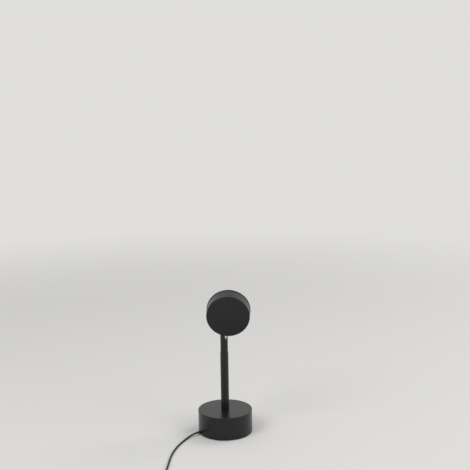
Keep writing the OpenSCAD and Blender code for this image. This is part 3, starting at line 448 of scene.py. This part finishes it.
def turnedAluminium(f, head):  # bare aluminium faced on a lathe: fine rings round the head's centre line
    made, tree, shader, place = startMaterial("turnedAluminium")
    moved = addNode(tree, "ShaderNodeVectorMath", {"operation": "SUBTRACT", 1: Vector(head["pivot"]) * mm}, {0: place})
    level = addNode(tree, "ShaderNodeVectorRotate", {"rotation_type": "X_AXIS", "Angle": -math.radians(head["tilt"])},
                    {"Vector": moved.outputs[0]})
    centred = addNode(tree, "ShaderNodeVectorMath", {"operation": "SUBTRACT", 1: Vector(head["shift"]) * mm},
                      {0: level.outputs[0]})
    rings = addNode(tree, "ShaderNodeTexWave", {"wave_type": "RINGS", "rings_direction": "Y",
                                                "Scale": waveScale(f["ring"]), "Distortion": 0.4},
                    {"Vector": centred.outputs[0]}).outputs["Fac"]
    cloud = addNode(tree, "ShaderNodeTexNoise", {"Scale": perMetre(f["cloud"])}, {"Vector": place})
    tone = addNode(tree, "ShaderNodeMix", twoTones(f), {0: cloud.outputs["Fac"]})
    smooth, dull = f["rough"]
    gloss = addNode(tree, "ShaderNodeMapRange", {"To Min": smooth, "To Max": dull}, {"Value": rings})
    tree.links.new(tone.outputs[2], shader.inputs["Base Color"])
    tree.links.new(gloss.outputs["Result"], shader.inputs["Roughness"])
    layBumps(tree, shader, [(rings, f["depth"])])
    setSockets(shader, {"Metallic": 1.0})
    return made


glassFacts = {
    "wipe": 12.0, "rough": (0.0, 0.02),  # faint marks where it was wiped
    "set": {"Base Color": linearColour("#F4F7F8"), "Transmission Weight": 1.0, "IOR": 1.52,
            "Thin Film Thickness": 115.0, "Thin Film IOR": 1.38},
}


def coatedGlass(f):  # ground and polished crown glass: one thin anti-glare layer tints its glints a faint violet
    made, tree, shader, place = startMaterial("coatedGlass")
    wipe = addNode(tree, "ShaderNodeTexNoise", {"Scale": perMetre(f["wipe"])}, {"Vector": place})
    smooth, dull = f["rough"]
    gloss = addNode(tree, "ShaderNodeMapRange", usualNoise | {"To Min": smooth, "To Max": dull},
                    {"Value": wipe.outputs["Fac"]})
    tree.links.new(gloss.outputs["Result"], shader.inputs["Roughness"])
    setSockets(shader, f["set"])
    return made


filmFacts = {
    "dark": "#E8741A", "light": "#F08A2E", "cloud": 6.0, "grit": 2.0, "rough": (0.05, 0.1),
    "set": {"Transmission Weight": 0.85, "IOR": 1.5, "Coat Weight": 0.6, "Coat Roughness": 0.05},
}


def dichroicFilm(f):  # coloured filter disc: clear orange under a hard, shiny coat
    made, tree, shader, place = startMaterial("dichroicFilm")
    cloud = addNode(tree, "ShaderNodeTexNoise", {"Scale": perMetre(f["cloud"])}, {"Vector": place})
    tone = addNode(tree, "ShaderNodeMix", twoTones(f), {0: cloud.outputs["Fac"]})
    grit = addNode(tree, "ShaderNodeTexNoise", {"Scale": perMetre(f["grit"])}, {"Vector": place})
    smooth, dull = f["rough"]
    gloss = addNode(tree, "ShaderNodeMapRange", usualNoise | {"To Min": smooth, "To Max": dull},
                    {"Value": grit.outputs["Fac"]})
    tree.links.new(tone.outputs[2], shader.inputs["Base Color"])
    tree.links.new(gloss.outputs["Result"], shader.inputs["Roughness"])
    setSockets(shader, f["set"])
    return made


finish["turnedAluminium"] = turnedAluminium(aluminiumFacts, headFrame)
finish["coatedGlass"] = coatedGlass(glassFacts)
finish["dichroicFilm"] = dichroicFilm(filmFacts)

wornBy = {  # which piece wears which finish
    "turnedEnamel": ["base_shell"],
    "bakedEnamel": ["pole_tube", "neck_stem"],
    "mattedEnamel": ["head_shell", "front_bezel"],
    "mouldedRubber": ["foot_pad", "cord_grommet", "switch_boots", "lens_seal"],
    "blackNylon": ["swivel_bush", "pivot_washers"],
    "cordJacket": ["cord_entry"],
    "leadJacket": ["base_lead", "neck_lead", "head_lead"],
    "zincPlate": ["base_plate", "base_plate_screws", "pole_nipple", "nipple_washer", "nipple_nut", "pole_insert",
                  "neck_clip", "hinge_plate", "hinge_plate_screws", "heat_sink_screws", "optic_screws", "filter_ring",
                  "switch_screws"],
    "blackOxide": ["pivot_screw"],
    "sandCastIron": ["base_weight"],
    "naturalNylon": ["cord_stop"],
    "turnedAluminium": ["heat_sink"],
    "solderResist": ["led_board"],
    "phosphorGel": ["led_chip"],
    "grainedAbs": ["optic_tube", "lens_retainer", "switch_bottom", "switch_top"],
    "dichroicFilm": ["colour_filter"],
    "coatedGlass": ["lens"],
    "polishedAbs": ["switch_button", "switch_module"],
    "plugPvc": ["plug_body"],
    "nickelPlate": ["plug_shell"],
    "whitePbt": ["plug_tongue"],
    "flashGold": ["plug_contacts"],
}
for worn, wearers in wornBy.items():
    for wearer in wearers:
        mesh = nodes[wearer].data
        mesh.materials.clear()
        mesh.materials.append(finish[worn])
print("finishes on", sum(len(w) for w in wornBy.values()), "solids")

# the two lengths of cord: base to switch, switch to plug
tube, turned, stitched = roundTube(), turnedForm(), stitchRow()
upperLine = throughPoints([cordFacts["inRelief"]] + cordFacts["run"] + [cordFacts["inSleeves"][0]])
lowerLine = (throughPoints([cordFacts["inSleeves"][1]] + cordFacts["link"])[:-1] + coilLine(coilFacts)
             + throughPoints(cordFacts["tail"] + [cordFacts["inPlug"]]))


def layCord(name, line, replaced):
    diameter = cordFacts["diameter"] * mm
    inputs = {"Diameter": diameter, "Sides": cordFacts["sides"], "Finish": finish["cordJacket"]}
    piece = throughTree(curveAlong([line], name), tube, inputs, name)
    shadeRound(piece.data, angle=40.0)
    standFor(piece, "base", "cord_jacket", *replaced)


moulded = {  # pieces with their edges rounded, shaded round from the solids' own form: node, finish, body, slot
    "switchBottom": ("switch_bottom", "grainedAbs", "base", "black_plastic"),
    "switchTop": ("switch_top", "grainedAbs", "base", "black_plastic"),
    "switchButton": ("switch_button", "polishedAbs", "button", "button"),
    "plugGrip": ("plug_body", "plugPvc", "base", "plug_grip"),
}
joined = {name: joinedCopy(name, *row) for name, row in moulded.items()}
joinedPlug = joined.pop("plugGrip")
layCord("cordToSwitch", upperLine, ["cord_run"])

# soft strap round the coil: woven hook and loop tape with its free end pressed down on the top
strapFacts = {  # millimetres
    "width": 8.0, "thick": 0.6, "corner": 1.4, "cornerSteps": 4,
    "inside": (46.26, 59.54), "floor": 0.6, "top": 14.3, "middleY": -221.9,
    # the tape's section with soft edges, in half widths and half thicknesses
    "section": [(-1, -0.6), (-0.94, -1), (0.94, -1), (1, -0.6), (1, 0.6), (0.94, 1), (-0.94, 1), (-1, 0.6)],
    "covered": (2.4, 5.0), "gap": 0.04,  # the end below, measured in from the right corner, and the space over it
    "climb": (0.9, 2.1), "climbRise": 0.25,  # where the free end comes up over it
    "tip": (1.8, 0.6), "tipRise": 0.12,  # the free end's tip, measured in from the left corner, lifts a little
}
stitchFacts = {  # millimetres
    "thread": {"Spacing": 1.9, "Length": 1.5, "Thickness": 0.34}, "hem": 0.9, "sunk": 0.02,
    "fromLeft": 2.0, "fromRight": 2.6,  # where the long seams on the free end stop
    "tipSeam": 2.6, "tipInset": 0.8,  # the seam across its tip
}
tapeFacts = {
    "dark": "#141415", "light": "#27272A", "thread": 0.6, "uneven": 0.3,  # threads drawn coarse, so that they show
    "weaveDepth": 0.06, "nap": 0.3, "napDepth": 0.04, "napShade": 0.5,
    "set": {"Roughness": 0.9, "Sheen Weight": 0.35, "Sheen Roughness": 0.5},
}
threadFacts = {"dark": "#5C5C61", "light": "#7A7A80", "twist": 0.2, "depth": 0.03, "rough": (0.5, 0.7)}


def wovenTape(f):  # polyester tape: a plain weave with a soft nap, its tone following the weave's height, so it has painted shade between the threads
    made, tree, shader, place = startMaterial("wovenTape")
    run = addNode(tree, "ShaderNodeUVMap", {"uv_map": "tapeRun"}).outputs["UV"]
    warp, weft = [addNode(tree, "ShaderNodeTexWave", {
        "wave_type": "BANDS", "bands_direction": direction, "Scale": waveScale(f["thread"]),
        "Distortion": f["uneven"]}, {"Vector": run}).outputs["Fac"] for direction in ("Y", "X")]
    over = addNode(tree, "ShaderNodeTexChecker", {"Scale": perMetre(f["thread"])}, {"Vector": run}).outputs["Fac"]
    threads = addNode(tree, "ShaderNodeMix", {"data_type": "FLOAT"}, {0: over, 2: warp, 3: weft}).outputs[0]
    nap = addNode(tree, "ShaderNodeTexNoise", {"Scale": perMetre(f["nap"]), "Detail": 4.0, "Roughness": 0.7},
                  {"Vector": place}).outputs["Fac"]
    shade = addNode(tree, "ShaderNodeMapRange", usualNoise | {"To Min": f["napShade"]}, {"Value": nap})
    # painted shade: the tone is darker where the weave's height is low, in the valleys between the threads, then varied
    # by the nap
    lit = addNode(tree, "ShaderNodeMath", {"operation": "MULTIPLY"}, {0: threads, 1: shade.outputs["Result"]})
    tone = addNode(tree, "ShaderNodeMix", twoTones(f), {0: lit.outputs[0]})
    tree.links.new(tone.outputs[2], shader.inputs["Base Color"])
    layBumps(tree, shader, [(threads, f["weaveDepth"]), (nap, f["napDepth"])])
    setSockets(shader, f["set"])
    return made


def sewingThread(f):  # bonded polyester thread: a tight twist with a soft shine
    made, tree, shader, place = startMaterial("sewingThread")
    twist = addNode(tree, "ShaderNodeTexNoise", {"Scale": perMetre(f["twist"]), "Detail": 3.0},
                    {"Vector": place}).outputs["Fac"]
    tone = addNode(tree, "ShaderNodeMix", twoTones(f), {0: twist})
    smooth, dull = f["rough"]
    gloss = addNode(tree, "ShaderNodeMapRange", usualNoise | {"To Min": smooth, "To Max": dull}, {"Value": twist})
    tree.links.new(tone.outputs[2], shader.inputs["Base Color"])
    tree.links.new(gloss.outputs["Result"], shader.inputs["Roughness"])
    layBumps(tree, shader, [(twist, f["depth"])])
    return made


def strapPath(s):  # x and z of the tape's middle, round the coil from the covered end to the free end
    (x0, x1), z0, z1, c, half = s["inside"], s["floor"], s["top"], s["corner"], s["thick"] / 2
    near, far, level = x0 + c, x1 - c, z1 + half
    lap = level + s["thick"] + s["gap"]

    def corner(cx, cz, start):  # a quarter turn, anticlockwise seen from -Y
        angles = [math.radians(start + 90 * k / s["cornerSteps"]) for k in range(s["cornerSteps"] + 1)]
        return [(cx + (c + half) * math.cos(a), cz + (c + half) * math.sin(a)) for a in angles]

    under = [(far - inset, level) for inset in s["covered"]]
    left = corner(near, z1 - c, 90) + corner(near, z0 + c, 180)
    right = corner(far, z0 + c, 270) + corner(far, z1 - c, 0)
    free = [(far - s["climb"][0], level + s["climbRise"]), (far - s["climb"][1], lap), (far - s["covered"][1], lap),
            (near + s["tip"][0], lap), (near + s["tip"][1], lap + s["tipRise"])]
    return under + left + right + free, lap


def tapeMesh(s, path):  # the section carried along the path, closed at both ends, with its own UV map
    half = s["thick"] / 2
    verts, faces = [], []
    for i, (x, z) in enumerate(path):
        a, b = path[max(i - 1, 0)], path[min(i + 1, len(path) - 1)]
        dx, dz = b[0] - a[0], b[1] - a[1]
        n = math.hypot(dx, dz)
        nx, nz = dz / n, -dx / n
        for w, t in s["section"]:
            verts.append((x + nx * half * t, s["middleY"] + w * s["width"] / 2, z + nz * half * t))
    k = len(s["section"])
    for i in range(len(path) - 1):
        for j in range(k):
            faces.append((i * k + j, i * k + (j + 1) % k, (i + 1) * k + (j + 1) % k, (i + 1) * k + j))
    faces.append(tuple(range(k))[::-1])
    faces.append(tuple(range((len(path) - 1) * k, len(path) * k)))
    mesh = bpy.data.meshes.new("coilStrap")
    mesh.from_pydata([Vector(v) * mm for v in verts], [], faces)
    run = [0.0]
    for (ax, az), (bx, bz) in zip(path, path[1:]):
        run.append(run[-1] + math.hypot(bx - ax, bz - az))
    tapeRun = mesh.uv_layers.new(name="tapeRun")  # metres along the tape and across it
    for loop in mesh.loops:
        i, j = divmod(loop.vertex_index, k)
        tapeRun.data[loop.index].uv = (run[i] * mm, s["section"][j][0] * s["width"] / 2 * mm)
    shell = bmesh.new()
    shell.from_mesh(mesh)
    bmesh.ops.recalc_face_normals(shell, faces=shell.faces)
    shell.to_mesh(mesh)
    shell.free()
    shadeRound(mesh, angle=50.0)
    return mesh


def strapSeams(s, t, lap):  # two down each side, two along the free end and one across its tip
    (x0, x1), z0, z1, c = s["inside"], s["floor"], s["top"], s["corner"]
    near, far, proud, above = x0 + c, x1 - c, s["thick"] - t["sunk"], lap + s["thick"] / 2 - t["sunk"]
    seams = []
    for side in (-1, 1):
        y = s["middleY"] + side * (s["width"] / 2 - t["hem"])
        seams.append([(x0 - proud, y, z1 - c), (x0 - proud, y, z0 + c)])
        seams.append([(x1 + proud, y, z0 + c), (x1 + proud, y, z1 - c)])
        seams.append([(far - t["fromRight"], y, above), (near + t["fromLeft"], y, above)])
    reach = s["width"] / 2 - t["hem"] - t["tipInset"]
    seams.append([(near + t["tipSeam"], s["middleY"] + side * reach, above) for side in (-1, 1)])
    return seams


def makeStrap(s, t):
    path, lap = strapPath(s)
    mesh = tapeMesh(s, path)
    mesh.materials.append(wovenTape(tapeFacts))
    strap = newObject("coilStrap", mesh)
    standFor(strap, "base", "strap", "coil_strap")
    inputs = {label: size * mm for label, size in t["thread"].items()} | {"Finish": sewingThread(threadFacts)}
    threads = throughTree(curveAlong(strapSeams(s, t, lap), "strapStitches"), stitched, inputs, "strapStitches")
    shadeRound(threads.data, angle=80.0)
    standFor(threads, "base", "strap")
    return strap, threads


strap, threads = makeStrap(strapFacts, stitchFacts)
layCord("cordToPlug", lowerLine, ["cord_link", "cord_coil", "cord_tail"])
print("cord laid:", round(lineLength(upperLine) + lineLength(lowerLine)), "mm")

# lens: ground flat behind and domed in front, spun from its profile so that it refracts cleanly
lensFacts = {  # millimetres
    "radius": 29.0, "edge": 1.8, "back": 8.2, "domeRadius": 27.2, "dome": 8.0, "chamfer": 0.2,
    "steps": 192, "rings": 56,
}


def headPlace(head):  # the head's own frame, its profile's Z axis turned along the beam
    return (Matrix.Translation(Vector(head["pivot"]) * mm) @ Matrix.Rotation(math.radians(head["tilt"]), 4, "X")
            @ Matrix.Translation(Vector(head["shift"]) * mm) @ Matrix.Rotation(math.radians(-90), 4, "X"))


def makeLens(f):
    r, back, c = f["radius"], f["back"], f["chamfer"]
    front = back + f["edge"]
    ball = (f["domeRadius"] ** 2 + f["dome"] ** 2) / (2 * f["dome"])
    reach = math.asin(f["domeRadius"] / ball)
    angles = [reach * (1 - k / f["rings"]) for k in range(f["rings"] + 1)]
    dome = [(ball * math.sin(a), front + f["dome"] - ball + ball * math.cos(a)) for a in angles]
    profile = [(0, back), (r - c, back), (r, back + c), (r, front - c), (r - c, front)] + dome
    lens = turnedPiece("domedLens", profile, f["steps"], "coatedGlass", headPlace(headFrame), angle=20.0)
    standFor(lens, "head", "lens_glass", "lens")


makeLens(lensFacts)

# foot pad: rubber disc with rings cut in its underside, so that it grips
padFacts = {  # millimetres
    "radius": 40.8, "thick": 1.5, "steps": 128,
    "round": 0.3, "bow": 0.3,  # its lower edge, and the share of that which the middle of the rounding keeps
    "first": 4.0, "ring": 3.2, "rim": 1.5,  # the first groove's radius, their spacing and the plain rim outside them
    "grooveWide": 1.2, "grooveDeep": 0.5, "lipWide": 0.1, "lipDeep": 0.08,
}


def makePad(f):
    r, c, bow, lip = f["radius"], f["round"], f["round"] * f["bow"], f["lipWide"]
    profile = [(0, f["thick"]), (r - c, f["thick"]), (r, f["thick"] - c), (r, c), (r - bow, bow), (r - c, 0)]
    at = f["first"]
    grooves = []
    while at + f["grooveWide"] < r - f["rim"]:
        grooves.append(at)
        at += f["ring"]
    for low in reversed(grooves):
        high = low + f["grooveWide"]
        profile += [(high + lip, 0), (high, f["lipDeep"]), (high - lip, f["grooveDeep"]), (low + lip, f["grooveDeep"]),
                    (low, f["lipDeep"]), (low - lip, 0)]
    pad = turnedPiece("groovedPad", profile + [(0, 0)], f["steps"], "mouldedRubber", Matrix.Identity(4), angle=40.0)
    standFor(pad, "base", "pad_rubber", "foot_pad")


makePad(padFacts)
print("lens and pad turned")

# studio: pale floor and backdrop, plain soft light
studio = {
    "floor": "#E6E5E3", "room": "#E0DFDD", "roomLight": 0.5,
    "wide": 16.0, "fadeFrom": 0.8, "fadeTo": 1.9,  # metres: beyond these the paper passes into an even backdrop
}


def seenDirectly(tree):  # one for the rays that show the backdrop: to the camera, off gloss and through glass
    ray = addNode(tree, "ShaderNodeLightPath").outputs
    near = addNode(tree, "ShaderNodeMath", {"operation": "MAXIMUM"}, {0: ray["Is Camera Ray"], 1: ray["Is Glossy Ray"]})
    return addNode(tree, "ShaderNodeMath", {"operation": "MAXIMUM"},
                   {0: near.outputs[0], 1: ray["Is Transmission Ray"]}).outputs[0]


def makeFloor(s):
    bpy.ops.mesh.primitive_plane_add(size=s["wide"], location=(0, 0, 0))
    floor = bpy.context.object
    floor.name = "studioFloor"
    paper, tree, shader, place = startMaterial("studioPaper")
    setSockets(shader, {"Base Color": linearColour(s["floor"]), "Roughness": 0.85, "Specular IOR Level": 0.1})
    away = addNode(tree, "ShaderNodeVectorMath", {"operation": "LENGTH"}, {0: place}).outputs["Value"]
    fade = addNode(tree, "ShaderNodeMapRange", {"interpolation_type": "SMOOTHSTEP", "From Min": s["fadeFrom"],
                                                "From Max": s["fadeTo"]}, {"Value": away}).outputs["Result"]
    share = addNode(tree, "ShaderNodeMath", {"operation": "MULTIPLY"}, {0: fade, 1: seenDirectly(tree)}).outputs[0]
    even = addNode(tree, "ShaderNodeEmission", {"Color": linearColour(s["room"]), "Strength": 1.0})
    both = addNode(tree, "ShaderNodeMixShader", links={0: share, 1: shader.outputs[0], 2: even.outputs[0]})
    tree.links.new(both.outputs[0], tree.nodes["Material Output"].inputs["Surface"])
    floor.data.materials.append(paper)


def makeRoom(s):
    world = bpy.data.worlds.new("studioRoom")
    bpy.context.scene.world = world
    world.use_nodes = True
    tree = world.node_tree
    lit = tree.nodes["Background"]
    setSockets(lit, {"Color": linearColour("#FFFFFF"), "Strength": s["roomLight"]})
    seen = addNode(tree, "ShaderNodeBackground", {"Color": linearColour(s["room"]), "Strength": 1.0})
    both = addNode(tree, "ShaderNodeMixShader", links={0: seenDirectly(tree), 1: lit.outputs[0], 2: seen.outputs[0]})
    tree.links.new(both.outputs[0], tree.nodes["World Output"].inputs["Surface"])


lamps = {  # place, what it points at, size in metres, watts
    "keySoftbox": ((-1.3, -1.5, 1.9), (0, 0, 0.1), 1.4, 22.0),
    "fillSoftbox": ((1.7, -1.0, 1.2), (0, 0, 0.12), 1.6, 9.0),
    "rimSoftbox": ((1.6, 0.9, 1.9), (0, 0, 0.16), 1.2, 13.0),
}


def makeLamps(rows):
    for name, (place, target, size, watts) in rows.items():
        data = bpy.data.lights.new(name, "AREA")
        data.shape, data.size, data.energy = "DISK", size, watts
        lamp = newObject(name, data)
        lamp.location = place
        lamp.rotation_euler = (Vector(target) - Vector(place)).to_track_quat("-Z", "Y").to_euler()


makeFloor(studio)
makeRoom(studio)
makeLamps(lamps)
bpy.context.scene.view_settings.view_transform = "Standard"
print("studio lit")
